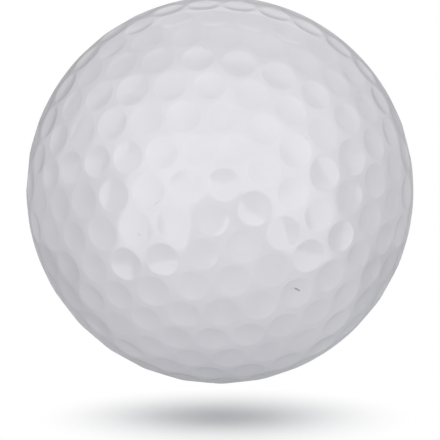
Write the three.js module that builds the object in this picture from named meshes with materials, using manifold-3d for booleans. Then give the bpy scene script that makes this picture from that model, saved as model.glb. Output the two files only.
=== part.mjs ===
// A golf ball that lights up when it is struck.
// Two dimpled cover cups close over a clear core. The core's two halves clamp a round circuit
// board that carries coin cells, LEDs and an impact switch. The origin is the ball's centre and
// the board lies level on it. All sizes are millimetres.
import * as THREE from 'three';
import { mergeVertices } from 'three/addons/utils/BufferGeometryUtils.js';
import Module from 'manifold-3d';

const wasm = await Module();
wasm.setup();

// Cover
const ballDiameter = 42.67;
const coverWall = 1.8;
const dimpleDepth = 0.24;
const landWidth = 0.42;      // least land between two dimple rims
const latticeSteps = 6;      // dimple spaces along each edge of the icosahedron
const rimSides = 10;
const tiny = 1e-6;           // below this, two lattice directions are one

// How the cover lies over the core, in degrees: its pole leans from upright, then turns
const poleTilt = 18.11;
const poleHeading = -147.99;
const coverSpin = -2.45;

// Clearances
const fitGap = 0.3;          // between two pieces that seat against each other
const partGap = 0.5;         // between a part on the board and the pocket's wall or ceiling

// Core
const coreSides = 24;
const holeSides = 12;        // of a locating pin, its socket and the board's notch
const pinDiameter = 2.2;
const pinHeight = 1.6;
const pinCount = 3;

// Circuit board
const boardThickness = 1;
const boardLedge = 1;        // how far the core overlaps the board's rim
const boardSides = 36;
const notchDiameter = 1.8;

// Coin cells
const cellDiameter = 12.5;
const cellHeight = 2.5;
const cellCapDiameter = 10.4;
const cellCapRise = 0.3;
const cellEdge = 0.35;
const cellSides = 20;
const contactDiameter = 7;
const contactThickness = 0.25;

// Cell clips
const clipThickness = 0.25;
const clipWidth = 3.6;
const clipFoot = 1.4;
const clipArch = 0.5;        // height of the clip's shoulders over the cell
const clipPad = 2.4;         // length of the flat that bears on the cell
const clipSlope = 2.8;       // length of the slope on each side of that flat

// LEDs
const ledLength = 3.5;
const ledWidth = 2.8;
const ledHeight = 1.4;
const ledCorner = 0.6;
const ledSetback = 0.75;     // from the cell's edge
const lensDiameter = 2.3;
const lensHeight = 0.8;
const lensLip = 0.2;
const lensSides = 10;
const ledsPerSide = 3;

// Impact switch
const springWire = 0.24;
const springDiameter = 2.44;
const springPitch = 0.8;
const springCurls = 7;
const curlSteps = 8;
const wireSides = 5;
const switchPinDiameter = 0.5;
const switchPinSides = 8;
const switchBaseLength = 1.6;
const switchBaseWidth = 2.8;
const switchLift = 0.7;      // between the board and the spring
const pinBend = 0.6;
const swayLimit = 5;         // degrees each way, just before the spring meets its pin

// Small parts
const chipLength = 2.9;
const chipWidth = 1.6;
const chipHeight = 1.1;
const chipSpan = 2.8;        // over the legs
const chipLegs = 3;          // on each side
const chipLegPitch = 0.95;
const chipLegWidth = 0.4;
const chipLegThickness = 0.15;
const capacitorLength = 3.2;
const capacitorWidth = 1.6;
const capacitorHeight = 1.2;
const resistorLength = 2;
const resistorWidth = 1.25;
const resistorHeight = 0.5;
const terminalLength = 0.45;
const terminalProud = 0.1;

// Heights and radii worked out from the sizes above
const ballRadius = ballDiameter / 2;
const innerRadius = ballRadius - coverWall;
const boardFace = boardThickness / 2;
const cellSeat = boardFace + contactThickness;
const cellTop = cellSeat + cellHeight;
const clipTop = cellTop + clipArch + clipThickness;
const degree = Math.PI / 180;
const turn = 2 * Math.PI;

// The switch lies beside the cell, far enough off for the spring to sway
const springLength = springPitch * springCurls;
const springSway = springDiameter / 2 + (springLength + springWire) * Math.sin(swayLimit * degree);
const switchSide = Math.max(switchBaseWidth / 2, springSway);
const switchLength = switchBaseLength + fitGap + springWire + springLength + springWire;
const switchCircle = cellDiameter / 2 + fitGap + switchSide;
const springAxis = switchLift + springDiameter / 2;

// The pocket clears what stands furthest out and highest on the board
const ledCircle = cellDiameter / 2 + ledSetback + ledLength / 2;
const ledReach = Math.hypot(ledCircle + ledLength / 2, ledWidth / 2);
const switchReach = Math.hypot(switchCircle + switchSide, switchLength / 2);
const switchTop = boardFace + springAxis + Math.max(switchBaseWidth, springDiameter) / 2;
const ledTop = boardFace + ledHeight + lensHeight;
const pocketRadius = Math.max(ledReach, switchReach) + fitGap;
const pocketHeight = Math.max(clipTop, switchTop, ledTop) + partGap;
const boardRadius = pocketRadius + boardLedge;
const recessRadius = boardRadius + fitGap;

// Shapes

// A closed mesh with shared vertices, no empty triangles and its faces pointing out
function tidy(geometry) {
  geometry.deleteAttribute('normal');
  geometry.deleteAttribute('uv');
  const merged = mergeVertices(geometry);
  const position = merged.getAttribute('position');
  const index = merged.getIndex().array;
  const kept = [];
  let volume = 0;
  const corner = [new THREE.Vector3(), new THREE.Vector3(), new THREE.Vector3()];
  for (let i = 0; i < index.length; i += 3) {
    const [a, b, c] = index.slice(i, i + 3);
    if (a === b || b === c || c === a) continue;
    kept.push(a, b, c);
    corner.forEach((point, k) => point.fromBufferAttribute(position, index[i + k]));
    volume += corner[0].dot(corner[1].cross(corner[2])) / 6;
  }
  if (volume < 0) kept.reverse();
  merged.setIndex(kept);
  merged.computeVertexNormals();
  return merged;
}

function toSolid(geometry) {
  const merged = tidy(geometry);
  return new wasm.Manifold(new wasm.Mesh({
    numProp: 3,
    vertProperties: new Float32Array(merged.getAttribute('position').array),
    triVerts: new Uint32Array(merged.getIndex().array),
  }));
}

function fromSolid(solid) {
  const mesh = solid.getMesh();
  const geometry = new THREE.BufferGeometry();
  geometry.setAttribute('position', new THREE.BufferAttribute(mesh.vertProperties, 3));
  geometry.setIndex(new THREE.BufferAttribute(mesh.triVerts, 1));
  geometry.computeVertexNormals();
  return geometry;
}

// A profile of [radius, height] points turned about the upright axis
function revolve(profile, sides) {
  const points = profile.map(([radius, height]) => new THREE.Vector2(radius, height));
  return tidy(new THREE.LatheGeometry(points, sides).rotateX(Math.PI / 2));
}

// Points of an arc in a profile, from one angle above level to another
function arc(radius, from, to, steps) {
  const angles = Array.from({ length: steps + 1 }, (_, i) => from + (to - from) * i / steps);
  return angles.map((angle) => [radius * Math.cos(angle), radius * Math.sin(angle)]);
}

function cylinder(radius, height, sides) {
  return tidy(new THREE.CylinderGeometry(radius, radius, height, sides).rotateX(Math.PI / 2));
}

// An outline of [x, y] points raised along z from nothing to a height
function prism(outline, height) {
  const shape = new THREE.Shape(outline.map(([x, y]) => new THREE.Vector2(x, y)));
  return tidy(new THREE.ExtrudeGeometry(shape, { depth: height, bevelEnabled: false }));
}

// The outline of a bent strip, from its middle line's [x, z] points
function stripOutline(line, thickness) {
  const side = (sign) => line.map((point, i) => {
    const here = new THREE.Vector2(...point);
    const before = here.clone().sub(new THREE.Vector2(...line[Math.max(i - 1, 0)])).normalize();
    const after = new THREE.Vector2(...line[Math.min(i + 1, line.length - 1)]).sub(here).normalize();
    const runs = [before, after].filter((run) => run.length() > 0);
    const normals = runs.map((run) => new THREE.Vector2(-run.y, run.x));
    const first = normals[0];
    const mitre = first.clone().add(normals[normals.length - 1]).normalize();
    return here.addScaledVector(mitre, sign * thickness / 2 / mitre.dot(first)).toArray();
  });
  return [...side(-1), ...side(1).reverse()];
}

// A strip bent along x and z, with its width along y and centred on it
function bentStrip(line, thickness, width) {
  return prism(stripOutline(line, thickness), width).rotateX(Math.PI / 2).translate(0, width / 2, 0);
}

// A round wire through the path's points, with its sides counted off from the given directions
function wire(path, outward, diameter, sides) {
  const points = [];
  const faces = [];
  path.forEach((point, i) => {
    const along = path[Math.min(i + 1, path.length - 1)].clone().sub(path[Math.max(i - 1, 0)]).normalize();
    const across = outward[i].clone().addScaledVector(along, -outward[i].dot(along)).normalize();
    const up = along.clone().cross(across);
    for (let k = 0; k < sides; k++) {
      const angle = turn * k / sides;
      const rim = across.clone().multiplyScalar(Math.cos(angle)).addScaledVector(up, Math.sin(angle));
      points.push(point.clone().addScaledVector(rim, diameter / 2));
    }
  });
  for (let i = 0; i < path.length - 1; i++) {
    for (let k = 0; k < sides; k++) {
      const a = i * sides + k;
      const b = i * sides + (k + 1) % sides;
      faces.push(a, b, b + sides, a, b + sides, a + sides);
    }
  }
  const last = (path.length - 1) * sides;
  for (let k = 1; k < sides - 1; k++) {
    faces.push(0, k + 1, k, last, last + k, last + k + 1);
  }
  const geometry = new THREE.BufferGeometry().setFromPoints(points);
  geometry.setIndex(faces);
  return tidy(geometry);
}

// Cover lattice: an icosahedron's faces, each filled with evenly walked rows of dimples

function direction(latitude, longitude) {
  const level = Math.cos(latitude);
  return new THREE.Vector3(level * Math.cos(longitude), level * Math.sin(longitude), Math.sin(latitude));
}

function icosahedronCorners() {
  const ringLatitude = Math.atan(0.5);
  const fifths = [0, 1, 2, 3, 4];
  const ring = (latitude, offset) => fifths.map((i) => direction(latitude, turn * (i + offset) / 5));
  const pole = new THREE.Vector3(0, 0, 1);
  return [pole, ...ring(ringLatitude, 0), ...ring(-ringLatitude, 0.5), pole.clone().negate()];
}

function icosahedronFaces(corners) {
  const edge = corners[0].angleTo(corners[1]);
  const joined = (a, b) => Math.abs(a.angleTo(b) - edge) < tiny;
  const faces = [];
  corners.forEach((a, i) => corners.slice(i + 1).forEach((b, j) => {
    corners.slice(i + j + 2).forEach((c) => {
      if (joined(a, b) && joined(b, c) && joined(c, a)) faces.push([a, b, c]);
    });
  }));
  return faces;
}

// Walk along the great circle from one direction towards another
function walk(from, to, share) {
  const angle = from.angleTo(to);
  if (angle < tiny) return from.clone();
  const start = from.clone().multiplyScalar(Math.sin((1 - share) * angle));
  return start.addScaledVector(to, Math.sin(share * angle)).normalize();
}

// The mean of the three walks that lead to a lattice point from the corners of its face
function latticePoint(face, steps) {
  const sum = new THREE.Vector3();
  const total = steps[0] + steps[1] + steps[2];
  for (let k = 0; k < 3; k++) {
    const [near, left, right] = [face[k], face[(k + 1) % 3], face[(k + 2) % 3]];
    const toLeft = steps[(k + 1) % 3];
    const toRight = steps[(k + 2) % 3];
    const away = (toLeft + toRight) / total;
    const swing = away > 0 ? toRight / (toLeft + toRight) : 0;
    sum.add(walk(walk(near, left, away), walk(near, right, away), swing));
  }
  return sum.normalize();
}

function latticePoints() {
  const found = [];
  for (const face of icosahedronFaces(icosahedronCorners())) {
    for (let i = 0; i <= latticeSteps; i++) {
      for (let j = 0; j <= latticeSteps - i; j++) {
        const point = latticePoint(face, [i, j, latticeSteps - i - j]);
        if (!found.some((other) => other.distanceTo(point) < tiny)) found.push(point);
      }
    }
  }
  return found;
}

// Each dimple's cell: its neighbours in order round it, and the half of the cover it is moulded in
function latticeCells(centres) {
  // The mean space between dimples, and a reach between the nearest ones and the next
  const pitch = Math.sqrt(8 * Math.PI / Math.sqrt(3) / centres.length);
  const reach = 1.35 * pitch;
  const cells = centres.map((centre) => {
    const east = new THREE.Vector3(-centre.y, centre.x, 0);
    if (east.length() < tiny) east.set(1, 0, 0);
    east.normalize();
    const north = centre.clone().cross(east);
    const bearing = (point) => Math.atan2(point.dot(north), point.dot(east));
    const near = [];
    centres.forEach((other, index) => {
      const angle = centre.angleTo(other);
      if (other !== centre && angle < reach) near.push({ index, angle, bearing: bearing(other) });
    });
    near.sort((a, b) => a.bearing - b.bearing);
    const rimAngle = (Math.min(...near.map(({ angle }) => angle)) - landWidth / ballRadius) / 2;
    const neighbours = near.map(({ index }) => index);
    return { centre, east, north, bearing, rimAngle, neighbours, upper: centre.z > 0 };
  });
  // The seam weaves between the dimples of the middle row, which belong to each half by turns
  const middle = cells.filter((cell) => Math.abs(Math.asin(cell.centre.z)) < pitch / 3);
  middle.sort((a, b) => Math.atan2(a.centre.y, a.centre.x) - Math.atan2(b.centre.y, b.centre.x));
  middle.forEach((cell, i) => { cell.upper = i % 2 === 0; });
  return cells;
}

const cells = latticeCells(latticePoints());

// The direction that is as far from each of three others, where their cells meet
function meeting(a, b, c) {
  const point = b.clone().sub(a).cross(c.clone().sub(a)).normalize();
  return point.dot(a) > 0 ? point : point.negate();
}

// Triangles between two rings of { index, bearing }, both counterclockwise seen from outside. Each
// step moves along the ring whose next point lies nearer in bearing to where the other ring is.
function stitch(outer, inner, faces) {
  const point = (ring, i) => ring[i % ring.length].index;
  const bearing = (ring, i) => ring[i % ring.length].bearing + turn * Math.floor(i / ring.length);
  let i = 0;
  let j = 0;
  while (i < outer.length || j < inner.length) {
    const alongOuter = bearing(outer, i + 1) - bearing(inner, j);
    const alongInner = bearing(inner, j + 1) - bearing(outer, i);
    if (j >= inner.length || (i < outer.length && alongOuter <= alongInner)) {
      faces.push(point(outer, i), point(outer, i + 1), point(inner, j));
      i++;
    } else {
      faces.push(point(outer, i), point(inner, j + 1), point(inner, j));
      j++;
    }
  }
}

// One half of the cover: the cells that belong to it, closed by the seam's wall
function coverHalf(upper) {
  const points = [];
  const faces = [];
  const corners = new Map();
  const add = (point, radius) => points.push(point.clone().multiplyScalar(radius)) - 1;
  // The corner where three cells meet, outside and inside
  const corner = (...three) => {
    const order = three.sort((a, b) => a - b);
    const key = order.join();
    if (!corners.has(key)) {
      const point = meeting(...order.map((i) => cells[i].centre));
      corners.set(key, { key, point, outside: add(point, ballRadius), inside: add(point, innerRadius) });
    }
    return corners.get(key);
  };
  cells.forEach((cell, own) => {
    if (cell.upper !== upper) return;
    const { neighbours } = cell;
    const count = neighbours.length;
    const border = neighbours.map((index, k) => corner(own, index, neighbours[(k + 1) % count]));
    const start = cell.bearing(border[0].point);
    const bearings = border.map(({ point }) => start + (cell.bearing(point) - start + turn) % turn);
    const land = border.map(({ outside }, k) => ({ index: outside, bearing: bearings[k] }));
    const rim = Array.from({ length: rimSides }, (_, k) => {
      const bearing = start + turn * k / rimSides;
      const away = cell.east.clone().multiplyScalar(Math.cos(bearing));
      away.addScaledVector(cell.north, Math.sin(bearing));
      const point = walk(cell.centre, away, cell.rimAngle / (Math.PI / 2));
      return { index: add(point, ballRadius), bearing };
    });
    const bottom = add(cell.centre, ballRadius - dimpleDepth);
    stitch(land, rim, faces);
    rim.forEach(({ index }, k) => faces.push(index, rim[(k + 1) % rimSides].index, bottom));
    for (let k = 1; k < count - 1; k++) {
      faces.push(border[0].inside, border[k + 1].inside, border[k].inside);
    }
    neighbours.forEach((index, k) => {
      if (cells[index].upper === upper) return;
      const from = border[(k + count - 1) % count];
      const to = border[k];
      if (from.key < to.key) {
        faces.push(to.outside, from.outside, to.inside, from.outside, from.inside, to.inside);
      } else {
        faces.push(to.outside, from.outside, from.inside, to.outside, from.inside, to.inside);
      }
    });
  });
  const geometry = new THREE.BufferGeometry().setFromPoints(points);
  geometry.setIndex(faces);
  return tidy(geometry);
}

// Core

// The flat cells inside the cover stand in from its inner sphere by this much at most
const cellSag = innerRadius * (1 - Math.min(...cells.map((cell) => Math.cos(widestCorner(cell)))));
const coreRadius = innerRadius - cellSag - fitGap;
const pinCircle = (recessRadius + coreRadius) / 2;

function widestCorner(cell) {
  const ring = cell.neighbours.map((index) => cells[index].centre);
  const corners = ring.map((point, k) => meeting(cell.centre, point, ring[(k + 1) % ring.length]));
  return Math.max(...corners.map((point) => cell.centre.angleTo(point)));
}

function aroundPins(place) {
  return Array.from({ length: pinCount }, (_, i) => place(turn * i / pinCount + turn / 4));
}

function coreHalf() {
  const profile = [
    [0, pocketHeight],
    [pocketRadius, pocketHeight],
    [pocketRadius, boardFace],
    [recessRadius, boardFace],
    [recessRadius, 0],
    ...arc(coreRadius, 0, Math.PI / 2, Math.round(coreSides / 4)),
  ];
  profile[profile.length - 1][0] = 0;
  return revolve(profile, coreSides);
}

// The upper half has a socket for each locating pin
function coreUpper() {
  const socketHeight = pinHeight + fitGap;
  const sockets = aroundPins((angle) => {
    const socket = cylinder(pinDiameter / 2 + fitGap, 2 * socketHeight, holeSides);
    return toSolid(socket.translate(pinCircle * Math.cos(angle), pinCircle * Math.sin(angle), 0));
  });
  return fromSolid(sockets.reduce((solid, socket) => solid.subtract(socket), toSolid(coreHalf())));
}

// The lower half has the pins, and a key that stops the board from turning
function coreLower() {
  const half = toSolid(coreHalf().rotateX(Math.PI));
  const pins = aroundPins((angle) => {
    const pin = cylinder(pinDiameter / 2, 2 * pinHeight, holeSides);
    return toSolid(pin.translate(pinCircle * Math.cos(angle), pinCircle * Math.sin(angle), 0));
  });
  const key = cylinder(notchDiameter / 2 - fitGap, boardThickness, holeSides);
  const keyed = half.add(toSolid(key.translate(recessRadius, 0, -boardFace)));
  return fromSolid(pins.reduce((solid, pin) => solid.add(pin), keyed));
}

// Circuit board: a disc with a notch for the core's key

function circuitBoard() {
  const disc = toSolid(cylinder(boardRadius, boardThickness, boardSides));
  const notch = cylinder(notchDiameter / 2, 2 * boardThickness, holeSides).translate(recessRadius, 0, 0);
  return fromSolid(disc.subtract(toSolid(notch)));
}

// Cells, their contacts and clips, each made for the board's upper face

function coinCell() {
  const rim = cellDiameter / 2;
  const cap = cellCapDiameter / 2;
  return revolve([
    [0, 0],
    [cap - cellEdge, 0],
    [cap, cellCapRise],
    [rim - cellEdge, cellCapRise],
    [rim, cellCapRise + cellEdge],
    [rim, cellHeight - cellEdge],
    [rim - cellEdge, cellHeight],
    [0, cellHeight],
  ], cellSides).translate(0, 0, cellSeat);
}

function cellContact() {
  const middle = boardFace + contactThickness / 2;
  return cylinder(contactDiameter / 2, contactThickness, cellSides).translate(0, 0, middle);
}

// A stamped bridge: feet on the board, legs beside the cell and a bowed top that bears on it
function cellClip() {
  const leg = cellDiameter / 2 + fitGap + clipThickness / 2;
  const foot = boardFace + clipThickness / 2;
  const bearing = cellTop + clipThickness / 2;
  const half = [
    [leg + clipFoot, foot],
    [leg, foot],
    [leg, bearing + clipArch],
    [clipPad / 2 + clipSlope, bearing + clipArch],
    [clipPad / 2, bearing],
  ];
  const mirrored = half.map(([x, z]) => [-x, z]).reverse();
  return bentStrip([...half, ...mirrored], clipThickness, clipWidth);
}

// LEDs: a white package with one cut corner, and a clear lens

function ledBody() {
  const x = ledLength / 2;
  const y = ledWidth / 2;
  return prism([[-x, -y], [x, -y], [x, y - ledCorner], [x - ledCorner, y], [-x, y]], ledHeight);
}

function ledLens() {
  const radius = lensDiameter / 2;
  const rise = (lensHeight - lensLip) / radius;
  const dome = arc(radius, 0, Math.PI / 2, 2).map(([r, z]) => [r, lensLip + z * rise]);
  dome[dome.length - 1][0] = 0;
  return revolve([[0, 0], [radius, 0], ...dome], lensSides).translate(0, 0, ledHeight);
}

// Impact switch, along x: a base, a pin through it, and a coil spring round the pin

const springRadius = (springDiameter - springWire) / 2;
const baseBack = -switchLength / 2;
const springRoot = baseBack + switchBaseLength + fitGap + springWire;

// A block whose far side is round, with a hole for the pin
function switchBase() {
  const half = switchBaseWidth / 2;
  const round = arc(half, 0, Math.PI, 8).map(([y, z]) => [y, springAxis + z]);
  const block = prism([[-half, 0], [half, 0], ...round], switchBaseLength);
  const hole = cylinder(switchPinDiameter / 2 + fitGap, 4 * switchBaseLength, switchPinSides);
  const bored = fromSolid(toSolid(block).subtract(toSolid(hole.translate(0, springAxis, 0))));
  return bored.rotateX(Math.PI / 2).rotateZ(Math.PI / 2).translate(baseBack, 0, 0);
}

// The pin rises from the board behind the base, bends and runs through the spring
function switchPin() {
  const back = baseBack - fitGap - switchPinDiameter / 2;
  const bend = arc(pinBend, Math.PI, Math.PI / 2, 4);
  const path = [
    new THREE.Vector3(back, 0, 0),
    ...bend.map(([x, z]) => new THREE.Vector3(back + pinBend + x, 0, springAxis - pinBend + z)),
    new THREE.Vector3(springRoot + springLength, 0, springAxis),
  ];
  return wire(path, path.map(() => new THREE.Vector3(0, 1, 0)), switchPinDiameter, switchPinSides);
}

function springPath() {
  const steps = springCurls * curlSteps;
  const path = [];
  const outward = [];
  for (let i = 0; i <= steps; i++) {
    const angle = turn * i / curlSteps;
    const away = new THREE.Vector3(0, Math.cos(angle), Math.sin(angle));
    outward.push(away);
    const middle = new THREE.Vector3(springRoot + springLength * i / steps, 0, springAxis);
    path.push(middle.addScaledVector(away, springRadius));
  }
  // Straight ends, square to the base
  path.unshift(path[0].clone().add(new THREE.Vector3(-springWire, 0, 0)));
  outward.unshift(outward[0]);
  path.push(path[path.length - 1].clone().add(new THREE.Vector3(springWire, 0, 0)));
  outward.push(outward[outward.length - 1]);
  return { path, outward };
}

function shockSpring() {
  const { path, outward } = springPath();
  return wire(path, outward, springWire, wireSides);
}

// The least gap between two curls of the wire, measured on points of its middle line
function leastSpringGap() {
  const curve = new THREE.CatmullRomCurve3(springPath().path.slice(1, -1));
  const points = curve.getPoints(springCurls * curlSteps * 4);
  let least = Infinity;
  points.forEach((a, i) => points.slice(i + curlSteps * 2).forEach((b) => {
    least = Math.min(least, a.distanceTo(b));
  }));
  return least - springWire;
}

// Small parts, each standing on the board's upper face and centred on its own axis

function chip() {
  const body = prism([
    [-chipLength / 2, -chipWidth / 2],
    [chipLength / 2, -chipWidth / 2],
    [chipLength / 2, chipWidth / 2],
    [-chipLength / 2, chipWidth / 2],
  ], chipHeight - chipLegThickness).translate(0, 0, chipLegThickness);
  const middle = chipHeight / 2;
  const low = chipLegThickness / 2;
  const half = [
    [chipSpan / 2, low],
    [chipSpan / 2 - chipLegWidth, low],
    [chipWidth / 2 + chipLegThickness, middle],
  ];
  const line = [...half, ...half.map(([x, z]) => [-x, z]).reverse()];
  let solid = toSolid(body);
  for (let i = 0; i < chipLegs; i++) {
    const legs = bentStrip(line, chipLegThickness, chipLegWidth).rotateZ(Math.PI / 2);
    solid = solid.add(toSolid(legs.translate((i - (chipLegs - 1) / 2) * chipLegPitch, 0, 0)));
  }
  return fromSolid(solid);
}

// A block with a raised terminal at each end
function endedBlock(length, width, height) {
  const end = length / 2;
  const inner = end - terminalLength;
  const body = height - terminalProud;
  return prism([
    [-end, 0],
    [end, 0],
    [end, height],
    [inner, height],
    [inner, body],
    [-inner, body],
    [-inner, height],
    [-end, height],
  ], width).rotateX(Math.PI / 2).translate(0, width / 2, 0);
}

// The ball: each finish is a colour, a roughness and a metalness

const finishes = {
  ionomer: [0xf2f3f5, 0.22, 0],
  resin: [0xe4ecf2, 0.3, 0],
  laminate: [0x1f6b43, 0.5, 0],
  gold: [0xd9b45a, 0.35, 1],
  steel: [0xc1c4c8, 0.32, 1],
  package: [0xf5f5f0, 0.5, 0],
  lens: [0xf3ecc4, 0.15, 0],
  insulator: [0x24262a, 0.55, 0],
  epoxy: [0x1c1d20, 0.5, 0],
  ceramic: [0xb08d63, 0.5, 0],
  film: [0x202124, 0.4, 0],
};

const golfBall = new THREE.Group();

function place(name, geometry, [color, roughness, metalness], parent = golfBall) {
  const mesh = new THREE.Mesh(geometry, new THREE.MeshStandardMaterial({ color, roughness, metalness }));
  mesh.name = name;
  parent.add(mesh);
  return mesh;
}

// The cover leans over the core as the ball is photographed
const coverHeading = new THREE.Group();
const coverLean = new THREE.Group();
coverHeading.rotation.z = poleHeading * degree;
coverLean.rotation.y = poleTilt * degree;
coverHeading.add(coverLean);
golfBall.add(coverHeading);
for (const [name, upper] of [['cover_upper', true], ['cover_lower', false]]) {
  place(name, coverHalf(upper), finishes.ionomer, coverLean).rotation.z = coverSpin * degree;
}

place('core_upper', coreUpper(), finishes.resin);
place('core_lower', coreLower(), finishes.resin);
place('circuit_board', circuitBoard(), finishes.laminate);

// The same cell, contact and clip on each side of the board keep the ball in balance
for (const [side, lean] of [['upper', 0], ['lower', Math.PI]]) {
  const face = new THREE.Group();
  face.rotation.x = lean;
  golfBall.add(face);
  place(`contact_${side}`, cellContact(), finishes.gold, face);
  place(`coin_cell_${side}`, coinCell(), finishes.steel, face);
  place(`cell_clip_${side}`, cellClip(), finishes.steel, face);
}

// A place on the ring round the cells, on the board's upper or lower face
function ringSpot(angle, upper) {
  const bearing = new THREE.Group();
  bearing.rotation.z = angle * degree;
  const spot = new THREE.Group();
  spot.position.set(ledCircle, 0, upper ? boardFace : -boardFace);
  spot.rotation.x = upper ? 0 : Math.PI;
  bearing.add(spot);
  golfBall.add(bearing);
  return spot;
}

// The LEDs of one face stand between those of the other
const ledStep = 360 / (2 * ledsPerSide);
for (let i = 0; i < 2 * ledsPerSide; i++) {
  const spot = ringSpot(ledStep * (i + 0.5), i % 2 === 1);
  place(`led_body_${i + 1}`, ledBody(), finishes.package, spot);
  place(`led_lens_${i + 1}`, ledLens(), finishes.lens, spot);
}

// The chip, the capacitor and the resistors fill the ring's free places
const capacitor = endedBlock(capacitorLength, capacitorWidth, capacitorHeight);
place('controller_chip', chip().rotateZ(Math.PI / 2), finishes.epoxy, ringSpot(-3 * ledStep / 2, true));
place('timing_capacitor', capacitor, finishes.ceramic, ringSpot(ledStep / 2, true));
[[5 / 2, true], [-1 / 2, false], [-5 / 2, false]].forEach(([steps, upper], i) => {
  const resistor = endedBlock(resistorLength, resistorWidth, resistorHeight);
  place(`resistor_${i + 1}`, resistor, finishes.film, ringSpot(steps * ledStep, upper));
});

// The switch hangs under the board, where no LED stands
const switchSpot = new THREE.Group();
switchSpot.rotation.x = Math.PI;
switchSpot.position.set(0, switchCircle, -boardFace);
golfBall.add(switchSpot);
place('switch_base', switchBase(), finishes.insulator, switchSpot);
place('switch_pin', switchPin(), finishes.gold, switchSpot);
place('shock_spring', shockSpring(), finishes.steel, switchSpot);

console.log(`Least gap between the spring's curls: ${leastSpringGap().toFixed(2)} mm`);

export default golfBall;
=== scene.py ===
from itertools import combinations
from math import asin, atan, atan2, cos, degrees, pi, radians, sin, sqrt, tan, tau
import bpy
from mathutils import Matrix, Vector


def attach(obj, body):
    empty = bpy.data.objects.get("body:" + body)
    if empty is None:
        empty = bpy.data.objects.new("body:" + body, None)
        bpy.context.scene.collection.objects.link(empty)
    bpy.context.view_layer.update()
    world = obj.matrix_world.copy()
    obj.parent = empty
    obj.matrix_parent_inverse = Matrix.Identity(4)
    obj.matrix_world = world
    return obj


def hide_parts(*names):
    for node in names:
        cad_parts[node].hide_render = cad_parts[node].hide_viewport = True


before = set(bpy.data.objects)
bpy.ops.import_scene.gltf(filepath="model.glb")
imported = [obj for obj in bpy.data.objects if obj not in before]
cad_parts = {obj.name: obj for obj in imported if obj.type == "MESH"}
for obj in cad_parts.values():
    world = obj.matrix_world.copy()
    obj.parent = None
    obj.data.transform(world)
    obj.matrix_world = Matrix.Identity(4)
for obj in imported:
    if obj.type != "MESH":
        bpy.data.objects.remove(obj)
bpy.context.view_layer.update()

# A golf ball that lights up when it is struck, on a plain white floor.
# Lengths are metres, and millimetres in the dictionaries of the inner pieces. Angles are degrees.
# The ball's centre is the origin.

print("frame loaded:", len(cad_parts), "nodes")

ballRadius = 0.021335
tiny = 1e-6         # a length or an angle below this is nothing


# A new object in the scene
def addObject(name, data):
    made = bpy.data.objects.new(name, data)
    bpy.context.collection.objects.link(made)
    return made


def addMesh(name, points, faces, *finishes):
    mesh = bpy.data.meshes.new(name)
    mesh.from_pydata(points, [], faces)
    for finish in finishes:
        mesh.materials.append(finish)
    return addObject(name, mesh)


# Unit direction from the ball, round from the camera's side and above the horizon
def toward(around, above):
    a, e = radians(around), radians(above)
    return Vector((sin(a) * cos(e), -cos(a) * cos(e), sin(e)))


# Each item of a ring with the next one
def pairs(ring):
    ring = list(ring)
    return list(zip(ring, ring[1:] + ring[:1]))


# The faces between two rings of points
def band(low, high):
    return [(a, b, d, c) for (a, b), (c, d) in zip(pairs(low), pairs(high))]


# Shader maths

class Signal:
    # A socket that can be used in an expression
    def __init__(self, tree, socket=None):
        self.tree = tree
        self.socket = socket

    # One output of a new node
    def node(self, kind, settings=None, inputs=None, output=0):
        made = self.tree.nodes.new(kind)
        for name, value in (settings or {}).items():
            setattr(made, name, value)
        for name, value in (inputs or {}).items():
            self.feed(made.inputs[name], value)
        return Signal(self.tree, made.outputs[output])

    def feed(self, target, value):
        if isinstance(value, Signal):
            self.tree.links.new(value.socket, target)
        else:
            target.default_value = value

    def maths(self, operation, *others):
        inputs = dict(enumerate((self, *others)))
        return self.node("ShaderNodeMath", {"operation": operation}, inputs)

    def vectors(self, operation, *others):
        inputs = dict(enumerate((self, *others)))
        output = "Value" if operation in ("DOT_PRODUCT", "LENGTH") else "Vector"
        return self.node("ShaderNodeVectorMath", {"operation": operation}, inputs, output)

    def __add__(self, other):
        return self.maths("ADD", other)

    def __sub__(self, other):
        return self.maths("SUBTRACT", other)

    def __rsub__(self, other):
        return self.node("ShaderNodeMath", {"operation": "SUBTRACT"}, {0: other, 1: self})

    def __mul__(self, other):
        return self.maths("MULTIPLY", other)

    def __truediv__(self, other):
        return self.maths("DIVIDE", other)

    __radd__ = __add__
    __rmul__ = __mul__

    # 0 below the first edge, 1 above the second, and smooth between them
    def step(self, low, high):
        inputs = {"Value": self, "From Min": low, "From Max": high}
        return self.node("ShaderNodeMapRange", {"interpolation_type": "SMOOTHSTEP"}, inputs)

    def blend(self, first, second):
        inputs = {0: self, 6: first, 7: second}      # the factor and both colours of a colour mix
        return self.node("ShaderNodeMix", {"data_type": "RGBA"}, inputs, 2)

    def noise(self, scale, detail=2):
        return self.node("ShaderNodeTexNoise", None, {"Vector": self, "Scale": scale, "Detail": detail})


# A new material, its shader and the place on the surface that its patterns start from
def newFinish(name, **sockets):
    material = bpy.data.materials.new(name)
    material.use_nodes = True
    shader = material.node_tree.nodes["Principled BSDF"]
    for socket, value in sockets.items():
        shader.inputs[socket.replace("_", " ")].default_value = value
    place = Signal(material.node_tree).node("ShaderNodeTexCoord", output="Object")
    return material, shader, place


# Feeds a shader what varies over its surface. The relief is the inputs of a Bump node.
def paint(shader, colour, roughness, **relief):
    colour.feed(shader.inputs["Base Color"], colour)
    colour.feed(shader.inputs["Roughness"], roughness)
    colour.feed(shader.inputs["Normal"], colour.node("ShaderNodeBump", None, relief))


# Camera, where the photograph was taken from

view = {
    "distance": 0.512, "elevation": 7.5, "sensor": 36, "pictureSide": 440,
    "ballPixels": 193.5,            # the ball's outline, half across
    "ballCentre": (219.9, 190.2),   # and its middle, right and down
}
viewReach = view["distance"] / ballRadius
viewBack, viewUp = toward(0, view["elevation"]), toward(180, 90 - view["elevation"])


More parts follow.
